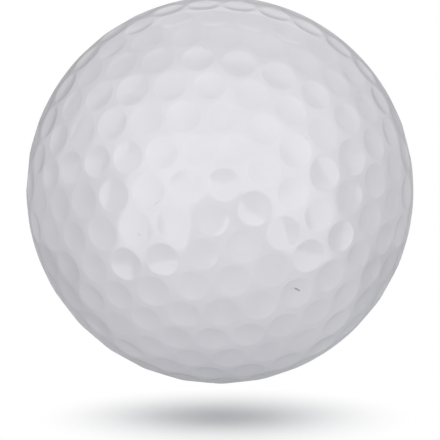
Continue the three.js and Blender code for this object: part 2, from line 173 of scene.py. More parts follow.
def addCamera():
    focalPixels = view["ballPixels"] * sqrt(viewReach ** 2 - 1)
    perPixel = view["distance"] / focalPixels
    middle = view["pictureSide"] / 2
    right, down = view["ballCentre"]
    target = (Vector((middle - right, 0, 0)) + viewUp * (down - middle)) * perPixel
    data = bpy.data.cameras.new("camera")
    data.sensor_width = view["sensor"]
    data.lens = view["sensor"] * focalPixels / view["pictureSide"]
    camera = addObject("camera", data)
    camera.location = viewBack * view["distance"]
    camera.rotation_euler = (target - camera.location).to_track_quat("-Z", "Y").to_euler()
    bpy.context.scene.camera = camera
    bpy.context.scene.view_settings.view_transform = "Standard"


addCamera()
print("camera placed")


# Cover: 362 dimples on the faces of an icosahedron, in two cups whose seam weaves between them

cover = {
    "wall": 0.0018,
    "poleTilt": 18.11,        # how far the seam's pole leans from upright
    "poleHeading": -147.99,   # and which way
    "spin": -2.45,
    "latticeSteps": 6,        # dimple spaces along an edge of the icosahedron
    "slack": 1e-4,            # what two lattice points or edges that are one may differ by
    "nextReach": 1.35,        # how far off a neighbour's centre may be, in dimple spaces
    "middleReach": 1 / 3,     # how far off the seam's plane a dimple of the middle row may be
    "landWidth": 0.00042,     # least land between two rims
    "dimpleDepth": 0.00024,
    "rimRound": 0.07,         # the rolled rim's half width, as a share of the dimple's radius
    "sideSteps": 6,           # points along a side of a dimple's cell
    "rimRings": 4, "bowlRings": 7,
}
rimStart, rimEnd = 1 - cover["rimRound"], 1 + cover["rimRound"]


# The direction at a share of the way from one to another, round the ball
def walk(start, end, share):
    angle = start.angle(end, 0)
    if angle < tiny:
        return start.copy()
    return (start * sin((1 - share) * angle) + end * sin(share * angle)).normalized()


def icosahedronFaces():
    latitude = atan(0.5)
    level, height = cos(latitude), sin(latitude)
    corners = [Vector((0, 0, 1))]
    for side, offset in ((1, 0), (-1, 0.5)):
        for i in range(5):
            longitude = tau * (i + offset) / 5
            corners.append(Vector((level * cos(longitude), level * sin(longitude), side * height)))
    corners.append(Vector((0, 0, -1)))
    reach = corners[0].angle(corners[1]) + cover["slack"]
    return [face for face in combinations(corners, 3) if all(a.angle(b) < reach for a, b in pairs(face))]


# The mean of the three walks that lead to a point from the corners of its face
def latticePoint(face, steps):
    total = sum(steps)
    mean = Vector()
    for k in range(3):
        near, left, right = face[k], face[(k + 1) % 3], face[(k + 2) % 3]
        toLeft, toRight = steps[(k + 1) % 3], steps[(k + 2) % 3]
        away = (toLeft + toRight) / total
        swing = toRight / (toLeft + toRight) if away > 0 else 0
        mean += walk(walk(near, left, away), walk(near, right, away), swing)
    return mean.normalized()


def latticePoints():
    found = []
    count = cover["latticeSteps"]
    for face in icosahedronFaces():
        for i in range(count + 1):
            for j in range(count + 1 - i):
                point = latticePoint(face, (i, j, count - i - j))
                if all((other - point).length > cover["slack"] for other in found):
                    found.append(point)
    return found


# A dimple, its neighbours in order round it, and the cup that it is moulded in
class Cell:
    def __init__(self, centre, others, reach):
        self.centre = centre
        east = Vector((-centre.y, centre.x, 0))
        self.east = east.normalized() if east.length > tiny else Vector((1, 0, 0))
        self.north = centre.cross(self.east)
        near = [(self.bearing(p), i) for i, p in enumerate(others) if tiny < centre.angle(p, 0) < reach]
        self.neighbours = [i for _, i in sorted(near)]
        nearest = min(centre.angle(others[i]) for i in self.neighbours)
        self.rim = (nearest - cover["landWidth"] / ballRadius) / 2
        self.upper = centre.z > 0

    def bearing(self, point):
        return atan2(point.dot(self.north), point.dot(self.east))


# All the dimples, with those of the middle row dealt out to the cups in turn
def coverCells():
    centres = latticePoints()
    pitch = sqrt(8 * pi / sqrt(3) / len(centres))
    cells = [Cell(centre, centres, cover["nextReach"] * pitch) for centre in centres]
    middle = [cell for cell in cells if abs(asin(cell.centre.z)) < cover["middleReach"] * pitch]
    middle.sort(key=lambda cell: atan2(cell.centre.y, cell.centre.x))
    for i, cell in enumerate(middle):
        cell.upper = i % 2 == 0
    return cells


# Depth of a dimple below the ball's sphere, at a share of its rim's radius from its middle
def dimpleDepth(share):
    depth = cover["dimpleDepth"]
    if share >= rimEnd:
        return 0
    if share <= rimStart:
        return depth * (1 - share ** 2)
    # The rolled rim leaves the bowl at the bowl's slope and meets the land level
    width = rimEnd - rimStart
    t = (share - rimStart) / width
    slope = -2 * depth * rimStart * width
    return depth * (1 - rimStart ** 2) * (2 * t ** 3 - 3 * t ** 2 + 1) + slope * (t ** 3 - 2 * t ** 2 + t)


# Where the rings of points round a dimple lie, from its rim's outer edge in to the bowl
def ringShares():
    rings, bowlRings = cover["rimRings"], cover["bowlRings"]
    rim = [rimEnd - (rimEnd - rimStart) * i / rings for i in range(rings + 1)]
    return rim + [rimStart * (1 - i / bowlRings) for i in range(1, bowlRings)]


def coverCup(name, cells, upper, finish):
    points, faces, known = [], [], {}
    outside, inside = ballRadius, ballRadius - cover["wall"]
    steps = cover["sideSteps"]
    shares = ringShares()

    def add(direction, radius):
        points.append(direction * radius)
        return len(points) - 1

    # A place on a cell's border, shared by the cells there: its direction and its two points
    def shared(key, direction):
        if key not in known:
            known[key] = (direction, add(direction, outside), add(direction, inside))
        return known[key]

    # Where three cells meet, with their numbers as its key
    def corner(*three):
        key = tuple(sorted(three))
        a, b, c = (cells[i].centre for i in key)
        direction = (b - a).cross(c - a).normalized()
        return key, shared(key, -direction if direction.dot(a) < 0 else direction)

    # Points along the border between two cells, from one corner to the next, without the last
    def border(start, end):
        line = [start[1]]
        turned = start[0] > end[0]
        for i in range(1, steps):
            key = (end[0], start[0], steps - i) if turned else (start[0], end[0], i)
            line.append(shared(key, start[1][0].lerp(end[1][0], i / steps).normalized()))
        return line

    sharp = []
    for own, cell in enumerate(cells):
        if cell.upper != upper:
            continue
        neighbours = pairs(cell.neighbours)
        corners = [corner(own, one, other) for one, other in neighbours]
        around = [spot for start, end in pairs(corners) for spot in border(start, end)]
        # From the cell's border over the land, the rolled rim and the bowl to its middle
        previous = [outer for _, outer, _ in around]
        bearings = [cell.bearing(direction) for direction, _, _ in around]
        for share in shares:
            angle = share * cell.rim
            radius = outside - dimpleDepth(share)
            ring = []
            for bearing in bearings:
                away = cell.east * cos(bearing) + cell.north * sin(bearing)
                ring.append(add(cell.centre * cos(angle) + away * sin(angle), radius))
            faces += band(previous, ring)
            previous = ring
        bottom = add(cell.centre, outside - cover["dimpleDepth"])
        back = add(cell.centre, inside)
        borders = pairs(around)
        faces += [(a, b, bottom) for a, b in pairs(previous)]
        faces += [(b, a, back) for (_, _, a), (_, _, b) in borders]
        # The seam's wall stands on each side shared with the other cup
        for k, (_, other) in enumerate(neighbours):
            if cells[other].upper != upper:
                for (_, a, c), (_, b, d) in borders[k * steps:(k + 1) * steps]:
                    faces.append((b, a, c, d))
                    sharp += [(a, b), (c, d)]

    lean = Matrix.Rotation(radians(cover["poleTilt"]), 3, "Y")
    heading = Matrix.Rotation(radians(cover["poleHeading"]), 3, "Z")
    turn = heading @ lean @ Matrix.Rotation(radians(cover["spin"]), 3, "Z")
    cup = addMesh(name, [turn @ point for point in points], faces, finish)
    cup.data.shade_smooth()
    crisp = {tuple(sorted(pair)) for pair in sharp}
    for edge in cup.data.edges:
        edge.use_edge_sharp = tuple(sorted(edge.vertices)) in crisp
    cup.data.validate()
    return cup


ionomer = {
    "colour": (0.81, 0.795, 0.83, 1),
    "cloud": (0.78, 0.765, 0.8, 1),
    "grime": (0.03, 0.028, 0.026, 1),
    "cloudScale": 180, "cloudEdges": (0.3, 0.7), "roughness": 0.4,
    "cloudRoughness": 0.1,    # what clouds and marks add to it
    "wornRoughness": 0.2,
    "gloss": 0.475, "glossIndex": 1.8, "glossRoughness": 0.02,
    "milk": 0.12,             # how far the shading leaves the dimples for the plain ball
    "peelScale": 900, "peelDepth": 2e-6, "peelStrength": 0.3,
    "waveScale": 200,         # a longer wave under the peel, and its share
    "waveShare": 0.3,
    "tornScale": 6000,        # the noise that tears the marks' edges
    "tornReach": 1.6,
    "markEdges": (1.25, 0.75),
    "markDepth": 8,           # in pixels
}
# The ball in the photograph: middle right and down, half width and half height
photoBall = (219.9, 190.2, 196, 191)
# Marks of wear, in the photograph's pixels: middle right and down, half length and half width, then
# turn and how dark
marks = {
    "scuff": (298.4, 288.9, 2.6, 1.0, -24, 0.52),
    "scuff_tail": (300.6, 290.2, 1.7, 0.8, -12, 0.5),
    "scuff_rub": (294.2, 287.6, 2.2, 0.6, 4, 0.16),
    "scratch_left": (155.5, 203, 4, 0.55, 38, 0.14),
    "nick_left": (137.5, 234.5, 3, 0.6, -15, 0.15),
    "scratch_top": (205.5, 50.5, 3.5, 0.5, -50, 0.12),
    "nick_right": (307.5, 139, 2.2, 0.6, -40, 0.12),
}


# The direction on the ball that the photograph shows at a pixel
def photoDirection(right, down):
    middleRight, middleDown, halfWidth, halfHeight = photoBall
    x, y = (right - middleRight) / halfWidth, (middleDown - down) / halfHeight
    ray = Vector((x, y, -sqrt(viewReach ** 2 - 1))).normalized()
    along = -viewReach * ray.z
    x, y, z = Vector((0, 0, viewReach)) + ray * (along - sqrt(along ** 2 - viewReach ** 2 + 1))
    return Vector((x, 0, 0)) + viewUp * y + viewBack * z


# 1 on a mark and 0 off it, with a torn edge
def markMask(place, torn, right, down, length, width, turn, strength):
    middle = photoDirection(right, down)
    across = Vector((-middle.y, middle.x, 0)).normalized()
    up = middle.cross(across)
    angle = radians(turn)
    along = across * cos(angle) + up * sin(angle)
    over = up * cos(angle) - across * sin(angle)
    offset = place.vectors("SUBTRACT", tuple(middle * ballRadius))

    def distance(axis, reach):
        return offset.vectors("DOT_PRODUCT", tuple(axis)) / (reach * ballRadius / photoBall[2])

    x, y, depth = distance(along, length), distance(over, width), distance(middle, ionomer["markDepth"])
    away = (x * x + y * y + depth * depth).maths("SQRT")
    return (away + torn).step(*ionomer["markEdges"]) * strength


# The surface's normal, leaning to the plain ball's, as light that wanders inside the milky cover evens
# out a dimple's shading. The gloss keeps the shape.
def milkyNormal(place):
    surface = place.node("ShaderNodeNewGeometry", output="Normal")
    settings = {"vector_type": "NORMAL", "convert_from": "OBJECT", "convert_to": "WORLD"}
    outward = place.node("ShaderNodeVectorTransform", settings, {"Vector": place.vectors("NORMALIZE")})
    lean = outward.vectors("SUBTRACT", surface).vectors("MULTIPLY", (ionomer["milk"],) * 3)
    return surface.vectors("ADD", lean)


def ionomerFinish():
    material, shader, place = newFinish(
        "cover_ionomer", Specular_IOR_Level=0, Coat_IOR=ionomer["glossIndex"], Coat_Weight=ionomer["gloss"],
        Coat_Roughness=ionomer["glossRoughness"])
    clouds = place.noise(ionomer["cloudScale"], 3).step(*ionomer["cloudEdges"])
    torn = (place.noise(ionomer["tornScale"]) - 0.5) * ionomer["tornReach"]
    worn, *masks = (markMask(place, torn, *values) for values in marks.values())
    for mask in masks:
        worn = worn.maths("MAXIMUM", mask)
    colour = worn.blend(clouds.blend(ionomer["colour"], ionomer["cloud"]), ionomer["grime"])
    roughness = ionomer["roughness"] + ionomer["wornRoughness"] * worn + ionomer["cloudRoughness"] * clouds
    peel = place.noise(ionomer["peelScale"]) + ionomer["waveShare"] * place.noise(ionomer["waveScale"], 1)
    paint(shader, colour, roughness, Strength=ionomer["peelStrength"], Distance=ionomer["peelDepth"],
          Height=peel, Normal=milkyNormal(place))
    return material


cells = coverCells()
coverFinish = ionomerFinish()
for name, upper in (("cover_upper", True), ("cover_lower", False)):
    cup = coverCup(name + "_shell", cells, upper, coverFinish)
    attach(cup, "ball")
    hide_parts(name)
print("cover moulded:", len(cells), "dimples")


# Inside the ball, in millimetres. A piece is made on the board's upper face, then set in its place.

mm = 0.001
upright = Matrix()
underside = Matrix.Rotation(pi, 4, "X")
quarterTurn = Matrix.Rotation(pi / 2, 4, "Z")
sharpAngle = 35      # of an edge that is kept crisp or rounded off
bevelSteps = 3
bendShare = 0.45     # of a run of sheet, the most that a bend at its end takes up


def shift(x, y, z):
    return Matrix.Translation(Vector((x, y, z)) * mm)


# Points and faces of one piece, gathered from its shapes, with a finish for each shape
class Shape:
    def __init__(self, *names):
        self.names = names
        self.points, self.faces, self.slots = [], [], []

    def add(self, points, faces, finish=0, place=upright):
        first = len(self.points)
        self.points += [place @ (Vector(point) * mm) for point in points]
        self.faces += [tuple(first + i for i in face) for face in faces]
        self.slots += [finish] * len(faces)

    def piece(self, name, place=upright):
        made = addMesh(name, self.points, self.faces, *(finishes[name] for name in self.names))
        made.matrix_world = place
        made.data.polygons.foreach_set("material_index", self.slots)
        made.data.shade_smooth()
        return made

    # The piece, set in the frame in the place of a CAD node.
    def seat(self, node, kind, place=upright, bevel=0, sharp=sharpAngle, body="ball"):
        install(self.piece(node + kind, place), node, bevel, sharp, body)


# Cuts a shape out of a made piece, or joins it on
def carve(made, shape, operation):
    cutter = shape.piece("cutter", made.matrix_world.copy())
    change = made.modifiers.new("carve", "BOOLEAN")
    change.object, change.operation, change.solver = cutter, operation, "EXACT"
    graph = bpy.context.evaluated_depsgraph_get()
    mesh = bpy.data.meshes.new_from_object(made.evaluated_get(graph))
    made.modifiers.clear()
    made.data = mesh
    bpy.data.objects.remove(cutter)


# Finishes a made piece's edges and sets it in the frame in the place of a CAD node
def install(made, node, bevel, sharp=sharpAngle, body="ball"):
    made.data.set_sharp_from_angle(angle=radians(sharp))
    if bevel:
        rounding = made.modifiers.new("rounding", "BEVEL")
        rounding.width = bevel * mm
        rounding.segments = bevelSteps
        rounding.limit_method = "ANGLE"
        rounding.angle_limit = radians(sharp)
        rounding.harden_normals = True
    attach(made, body)
    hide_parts(node)


# A profile of (radius, height) points turned about the upright axis, closed where it meets the axis
def turned(profile, sides):
    points, faces, rings = [], [], []
    for radius, height in profile:
        count = 1 if radius < tiny else sides
        rings.append(range(len(points), len(points) + count))
        turns = [tau * i / count for i in range(count)]
        points += [(radius * cos(t), radius * sin(t), height) for t in turns]
    for low, high in zip(rings, rings[1:]):
        if len(low) == 1:
            faces += [(low[0], b, a) for a, b in pairs(high)]
        elif len(high) == 1:
            faces += [(a, b, high[0]) for a, b in pairs(low)]
        else:
            faces += band(low, high)
    return points, faces


def disc(radius, low, high, sides):
    return turned([(0, low), (radius, low), (radius, high), (0, high)], sides)


# Points of an arc, (right, up), round a middle
def arc(middle, radius, start, end, steps):
    turns = [radians(start + (end - start) * i / steps) for i in range(steps + 1)]
    return [(middle[0] + radius * cos(t), middle[1] + radius * sin(t)) for t in turns]


# An outline of (x, y) points raised from one height to another
def slab(outline, low, high):
    count = len(outline)
    foot, top = range(count), range(count, 2 * count)
    points = [(x, y, low) for x, y in outline] + [(x, y, high) for x, y in outline]
    return points, [tuple(reversed(foot)), tuple(top)] + band(foot, top)


def rectangle(left, front, right, back):
    return [(left, front), (right, front), (right, back), (left, back)]


# An outline of (x, z) points, its width along y
def plank(outline, width):
    points, faces = slab(outline, -width / 2, width / 2)
    return [(x, -y, z) for x, z, y in points], faces


# A box, from its lowest corner to its highest
def block(low, high):
    return slab(rectangle(low[0], low[1], high[0], high[1]), low[2], high[2])


# A box at one end of a part, given by its reach along x and its corners' (y, z)
def endBlock(side, near, far, low, high):
    left, right = sorted((side * near, side * far))
    return block((left, *low), (right, *high))


# A line of (across, up) points and the same line mirrored, joined at their last points
def mirrored(half):
    return half + [(-across, up) for across, up in half[::-1]]


# A line of (across, up) points with its corners rounded
def bent(line, radius, steps):
    rounded = [line[0]]
    for before, here, after in zip(line, line[1:], line[2:]):
        here, before, after = Vector(here), Vector(before), Vector(after)
        back, on = (before - here).normalized(), (after - here).normalized()
        half = back.angle(on) / 2
        longest = bendShare * min((before - here).length, (after - here).length)
        reach = min(radius / tan(half), longest)
        size = reach * tan(half)
        middle = here + (back + on).normalized() * size / sin(half)
        start, end = here + back * reach - middle, here + on * reach - middle
        for i in range(steps + 1):
            spot = start.slerp(end, i / steps) * size + middle
            rounded.append((spot.x, spot.y))
    rounded.append(line[-1])
    return rounded


# A strip of sheet bent along x and z, with its width along y
def bentStrip(line, thickness, width):
    line = [Vector(point) for point in line]
    runs = [(b - a).normalized() for a, b in zip(line, line[1:])]
    normals = [Vector((-run.y, run.x)) for run in (runs[0], *runs, runs[-1])]
    under, over = [], []
    for here, before, after in zip(line, normals, normals[1:]):
        mitre = (before + after).normalized()
        reach = mitre * thickness / 2 / mitre.dot(before)
        under.append(here - reach)
        over.append(here + reach)
    return plank([(p.x, p.y) for p in under + over[::-1]], width)


# How a wire's end rounds off: how far on a ring lies and how wide it is, in radii
wireTip = ((0.6, 0.8), (0.9, 0.45))


# A round wire along a path of points, with rounded ends
def tube(path, radius, sides):
    path = [Vector(p) for p in path]
    last = len(path) - 1
    # Each ring's point on the path, how far on from there the ring is, and how wide
    spots = [(0, -on, wide) for on, wide in wireTip[::-1]] + [(i, 0, 1) for i in range(last + 1)]
    spots += [(last, on, wide) for on, wide in wireTip]
    points, rings = [], []
    side = (path[1] - path[0]).orthogonal()
    for i, on, wide in spots:
        along = (path[min(i + 1, last)] - path[max(i - 1, 0)]).normalized()
        side = (side - along * side.dot(along)).normalized()
        up = along.cross(side)
        rings.append(range(len(points), len(points) + sides))
        for k in range(sides):
            t = tau * k / sides
            points.append(path[i] + ((side * cos(t) + up * sin(t)) * wide + along * on) * radius)
    faces = [face for low, high in zip(rings, rings[1:]) for face in band(low, high)]
    return points, faces + [tuple(reversed(rings[0])), tuple(rings[-1])]


# Finishes of the inner pieces. Scales are a pattern's repeats in a metre.

metal = {
    "drawnScale": 400, "tarnishScale": 900, "tarnishEdges": (0.35, 0.75), "roughness": 0.14,
    "strength": 0.15, "depth": 2e-5,
}
moulded = {
    "flowScale": 300, "flowEdges": (0.3, 0.7), "roughness": 0.12, "strength": 0.3, "index": 1.5,
}
laminate = {
    "green": (0.014, 0.115, 0.052, 1),
    "weaveGreen": (0.018, 0.135, 0.062, 1),
    "copperGreen": (0.05, 0.24, 0.1, 1),
    "weave": 9000, "weaveRise": 0.05, "ringRadius": 0.0071, "ringEdges": (0.00022, 0.00016),
    "spokes": 6, "spokeEdges": (0.03, 0.02), "spokeStart": (0.0070, 0.0071),
    "roughness": 0.32, "mottle": 0.1, "mottleScale": 700, "strength": 0.4, "depth": 3e-5,
}


def metalFinish(name, colour, dull, roughness, stretch):
    material, shader, place = newFinish(name, Metallic=1)
    drawn = place.vectors("MULTIPLY", stretch).noise(metal["drawnScale"], 4)
    tarnish = place.noise(metal["tarnishScale"], 3).step(*metal["tarnishEdges"])
    paint(shader, tarnish.blend((*colour, 1), (*dull, 1)), roughness + metal["roughness"] * drawn,
          Strength=metal["strength"], Distance=metal["depth"], Height=drawn)
    return material


def mouldedFinish(name, colour, worn, roughness, grain, clear=0, depth=1e-5):
    material, shader, place = newFinish(name, Transmission_Weight=clear, IOR=moulded["index"])
    flow = place.noise(moulded["flowScale"], 3).step(*moulded["flowEdges"])
    paint(shader, flow.blend((*colour, 1), (*worn, 1)), roughness + moulded["roughness"] * flow,
          Strength=moulded["strength"], Distance=depth, Height=place.noise(grain))
    return material


# Green mask over glass laminate: the weave shows faintly, and the copper under it a little lighter
def laminateFinish():
    material, shader, place = newFinish("board_laminate", Coat_Weight=0.4, Coat_Roughness=0.15)
    x, y = (place.node("ShaderNodeSeparateXYZ", None, {"Vector": place}, axis) for axis in "XY")
    weave = (x * laminate["weave"]).maths("SINE") * (y * laminate["weave"]).maths("SINE")
    radius = place.vectors("LENGTH")
    ring = (radius - laminate["ringRadius"]).maths("ABSOLUTE").step(*laminate["ringEdges"])
    bearing = y.maths("ARCTAN2", x) * (laminate["spokes"] / tau)
    spoke = (bearing.maths("FRACT") - 0.5).maths("ABSOLUTE").step(*laminate["spokeEdges"])
    copper = ring.maths("MAXIMUM", spoke * radius.step(*laminate["spokeStart"]))
    base = (0.5 + 0.5 * weave).blend(laminate["green"], laminate["weaveGreen"])
    roughness = laminate["roughness"] + laminate["mottle"] * place.noise(laminate["mottleScale"])
    relief = copper + laminate["weaveRise"] * weave
    paint(shader, copper.blend(base, laminate["copperGreen"]), roughness, Strength=laminate["strength"],
          Distance=laminate["depth"], Height=relief)
    return material


# Each metal's two colours, roughness and stretch of its drawn lines
metals = {
    "contact_gold": ((0.95, 0.70, 0.30), (0.80, 0.55, 0.24), 0.2, (1, 1, 1)),
    "cell_steel": ((0.66, 0.65, 0.62), (0.52, 0.51, 0.49), 0.24, (1, 1, 6)),
    "clip_steel": ((0.62, 0.62, 0.62), (0.5, 0.5, 0.5), 0.22, (0.2, 6, 1)),
    "spring_steel": ((0.68, 0.69, 0.70), (0.55, 0.55, 0.56), 0.18, (6, 1, 1)),
    "pin_brass": ((0.86, 0.66, 0.32), (0.7, 0.5, 0.25), 0.2, (0.5, 4, 4)),
    "tinned_ends": ((0.70, 0.70, 0.69), (0.56, 0.56, 0.55), 0.3, (1, 1, 1)),
}
# Each moulding's two colours, roughness, grain, how clear it is and how deep the grain
mouldings = {
    "core_resin": ((0.93, 0.96, 0.98), (0.9, 0.94, 0.97), 0.06, 500, 0.92),
    "led_package": ((0.84, 0.84, 0.81), (0.80, 0.80, 0.76), 0.42, 4000),
    "led_phosphor": ((0.85, 0.72, 0.20), (0.78, 0.62, 0.12), 0.6, 9000),
    "led_resin": ((0.96, 0.95, 0.88), (0.94, 0.92, 0.84), 0.04, 800, 0.9),
    "switch_plastic": ((0.016, 0.017, 0.02), (0.024, 0.025, 0.028), 0.42, 5000),
    "chip_epoxy": ((0.012, 0.012, 0.013), (0.02, 0.02, 0.021), 0.5, 7000, 0, 2e-5),
    "cell_gasket": ((0.05, 0.05, 0.055), (0.07, 0.07, 0.075), 0.5, 5000),
    "capacitor_ceramic": ((0.40, 0.26, 0.13), (0.33, 0.21, 0.10), 0.45, 6000),
    "resistor_film": ((0.015, 0.015, 0.017), (0.025, 0.025, 0.027), 0.3, 3000),
    "resistor_ceramic": ((0.80, 0.79, 0.76), (0.74, 0.73, 0.70), 0.5, 6000),
}
finishes = {"board_laminate": laminateFinish()}
finishes.update({name: metalFinish(name, *values) for name, values in metals.items()})
finishes.update({name: mouldedFinish(name, *values) for name, values in mouldings.items()})


# Core: two clear halves that clamp the board's rim, with pins and sockets between them

core = {
    "radius": 19.09, "recess": 12.374, "pocket": 11.074, "pocketHeight": 4.5, "sides": 144, "edge": 0.15,
    "pins": 3, "pin": 1.1, "pinHeight": 1.6, "pinRing": 15.735, "pinSides": 40,
    "fit": 0.3, "key": 0.6, "keyHeight": 1, "keySides": 32,
}
boardThickness = 1
boardFace = boardThickness / 2


def coreHalf(node, upper):
    recess, pocket, high = core["recess"], core["pocket"], core["pocketHeight"]
    profile = [(0, high), (pocket, high), (pocket, boardFace), (recess, boardFace), (recess, 0),
               *arc((0, 0), core["radius"], 0, 90, core["sides"] // 4)[:-1], (0, core["radius"])]
    shape = Shape("core_resin")
    shape.add(*turned(profile, core["sides"]))
    half = shape.piece(node + "_resin", upright if upper else underside)
    room = core["fit"] if upper else 0
    reach = core["pinHeight"] + room
    pegs = Shape("core_resin")
    for i in range(core["pins"]):
        angle = radians(90 + 360 / core["pins"] * i) * (1 if upper else -1)
        middle = shift(core["pinRing"] * cos(angle), core["pinRing"] * sin(angle), 0)
        pegs.add(*disc(core["pin"] + room, -reach, reach, core["pinSides"]), place=middle)
    carve(half, pegs, "DIFFERENCE" if upper else "UNION")
    if not upper:
        key = Shape("core_resin")
        key.add(*disc(core["key"], 0, core["keyHeight"], core["keySides"]), place=shift(recess, 0, 0))
        carve(half, key, "UNION")
    install(half, node, core["edge"])


coreHalf("core_upper", True)
coreHalf("core_lower", False)
print("core cast")


# Circuit board, with the solder of the LEDs, the capacitor and the resistors on it

board = {
    "radius": 12.074,
    "notch": 0.9,            # its radius, round the core's key
    "notchOut": 12.374,      # from the ball's axis to the notch's middle
    "notchSides": 16, "sides": 160, "edge": 0.06,
    "partRing": 8.75,        # from the ball's axis to the parts round the cells
    "solderRise": 0.3,
    "solderReach": 0.32,
    "solderSag": (0.45, 0.35),       # where a fillet is hollow, as shares of its reach and rise
    "ledSolder": (1.78, 2.2),        # half the way between a part's two fillets, and their width
    "capacitorSolder": (1.6, 1.4),
    "resistorSolder": (1, 1.1),
}


# A part's place on the ring round the cells, so many sixths of a turn on, its x pointing out
def ringSpot(sixths, upper):
    turn = Matrix.Rotation(radians(60 * sixths), 4, "Z")
    height = boardFace if upper else -boardFace
    return turn @ shift(board["partRing"], 0, height) @ (upright if upper else underside)


ledSpots = [ringSpot(i + 0.5, i % 2 == 1) for i in range(6)]
resistorSpots = [ringSpot(2.5, True), ringSpot(-0.5, False), ringSpot(-2.5, False)]
capacitorSpot = ringSpot(0.5, True)
chipSpot = ringSpot(-1.5, True)


def solder(shape, place, ends, width):
    reach, rise = board["solderReach"], board["solderRise"]
    on, up = board["solderSag"]
    fillet = [(ends, 0), (ends + reach, 0), (ends + reach * on, rise * up), (ends, rise)]
    points, faces = plank(fillet, width)
    for side in (-1, 1):
        shape.add([(side * x, side * y, z) for x, y, z in points], faces, 1, place)


def circuitBoard():
    away, notch, out = board["radius"], board["notch"], board["notchOut"]
    across = (out ** 2 + away ** 2 - notch ** 2) / (2 * out)
    up = sqrt(away ** 2 - across ** 2)
    edge = degrees(atan2(up, across))
    mouth = degrees(atan2(up, across - out))
    rim = arc((0, 0), away, edge, 360 - edge, board["sides"])[:-1]
    rim += arc((out, 0), notch, 360 - mouth, mouth, board["notchSides"])[:-1]
    shape = Shape("board_laminate", "tinned_ends")
    shape.add(*slab(rim, -boardFace, boardFace))
    for place in ledSpots:
        solder(shape, place, *board["ledSolder"])
    solder(shape, capacitorSpot, *board["capacitorSolder"])
    for place in resistorSpots:
        solder(shape, place, *board["resistorSolder"])
    shape.seat("circuit_board", "_laminate", bevel=board["edge"])


circuitBoard()
print("board etched")


# Cells, contacts and clips, the same on both faces of the board

contact = {
    "radius": 3.5, "height": 0.25, "groove": (0.5, 0.6, 0.9, 1), "grooveDepth": 0.08,
    "edge": 0.04, "sharp": 30,
}
coinCell = {
    "radius": 6.25, "height": 2.5, "cap": 5.2, "capRise": 0.3, "edge": 0.35, "gasket": 0.13,
    "gasketRise": 0.1, "capSteps": 6, "edgeSteps": 8, "sides": 128, "sharp": 50,
}
clip = {
    "thickness": 0.25, "width": 3.6, "foot": 1.4, "arch": 0.5, "pad": 1.2, "slope": 2.8, "gap": 0.3,
    "bend": 0.35, "bendSteps": 6, "edge": 0.05,
}
cellSeat = boardFace + contact["height"]
cellTop = cellSeat + coinCell["height"]


# A gold disc with a shallow groove pressed round it
def cellContact(side, place):
    rim, high = contact["radius"], boardFace + contact["height"]
    outer, downOuter, downInner, inner = (rim - inset for inset in contact["groove"])
    low = high - contact["grooveDepth"]
    profile = [(0, boardFace), (rim, boardFace), (rim, high), (outer, high), (downOuter, low),
               (downInner, low), (inner, high), (0, high)]
    shape = Shape("contact_gold")
    shape.add(*turned(profile, coinCell["sides"]))
    shape.seat("contact_" + side, "_gold", place, contact["edge"], contact["sharp"])


# A steel can, and the dark gasket that stands between it and its cap
def cellCan(side, place):
    radius, cap, rise, edge = coinCell["radius"], coinCell["cap"], coinCell["capRise"], coinCell["edge"]
    high, gasket, gasketTop = coinCell["height"], coinCell["gasket"], rise + coinCell["gasketRise"]
    steps = coinCell["edgeSteps"]
    can = [(0, 0)] + arc((cap - edge, rise), rise, -90, 0, coinCell["capSteps"])
    can += [(cap, rise)] + arc((radius - edge, rise + edge), edge, -90, 0, steps)
    can += arc((radius - edge, high - edge), edge, 0, 90, steps) + [(0, high)]
    seal = arc((cap + gasket, rise), gasket, -180, 0, steps)
    seal += [(cap + 2 * gasket, gasketTop), (cap, gasketTop), seal[0]]
    shape = Shape("cell_steel", "cell_gasket")
    for finish, profile in enumerate((can, seal)):
        shape.add(*turned(profile, coinCell["sides"]), finish, shift(0, 0, cellSeat))
    shape.seat("coin_cell_" + side, "_can", place, sharp=coinCell["sharp"])


# A stamped bridge: feet on the board, legs beside the cell and a bowed top that bears on it
def cellClip(side, place):
    thick = clip["thickness"]
    leg = coinCell["radius"] + clip["gap"] + thick / 2
    foot, bearing = boardFace + thick / 2, cellTop + thick / 2
    shoulder = bearing + clip["arch"]
    half = [(leg + clip["foot"], foot), (leg, foot), (leg, shoulder),
            (clip["pad"] + clip["slope"], shoulder), (clip["pad"], bearing)]
    shape = Shape("clip_steel")
    shape.add(*bentStrip(bent(mirrored(half), clip["bend"], clip["bendSteps"]), thick, clip["width"]))
    shape.seat("cell_clip_" + side, "_strip", place, clip["edge"])


for side, place in (("upper", upright), ("lower", underside)):
    cellContact(side, place)
    cellCan(side, place)
    cellClip(side, place)
print("cells seated")


# LEDs: a white package with one cut corner, tinned ends, a phosphor pad and a clear lens

led = {
    "length": 3.5, "width": 2.8, "height": 1.4, "corner": 0.6, "edge": 0.05,
    "lens": 1.15, "lensHeight": 0.8, "lip": 0.2, "lensSides": 64, "domeSteps": 15, "lensSharp": 50,
    "phosphor": 0.95, "phosphorRise": 0.03, "phosphorSides": 48,
    "end": 0.5, "plate": 0.04, "endLow": -0.001, "endHigh": 0.45,
    "endSpan": (-0.7, 0.5),        # clear of the cut corner, in half widths
}


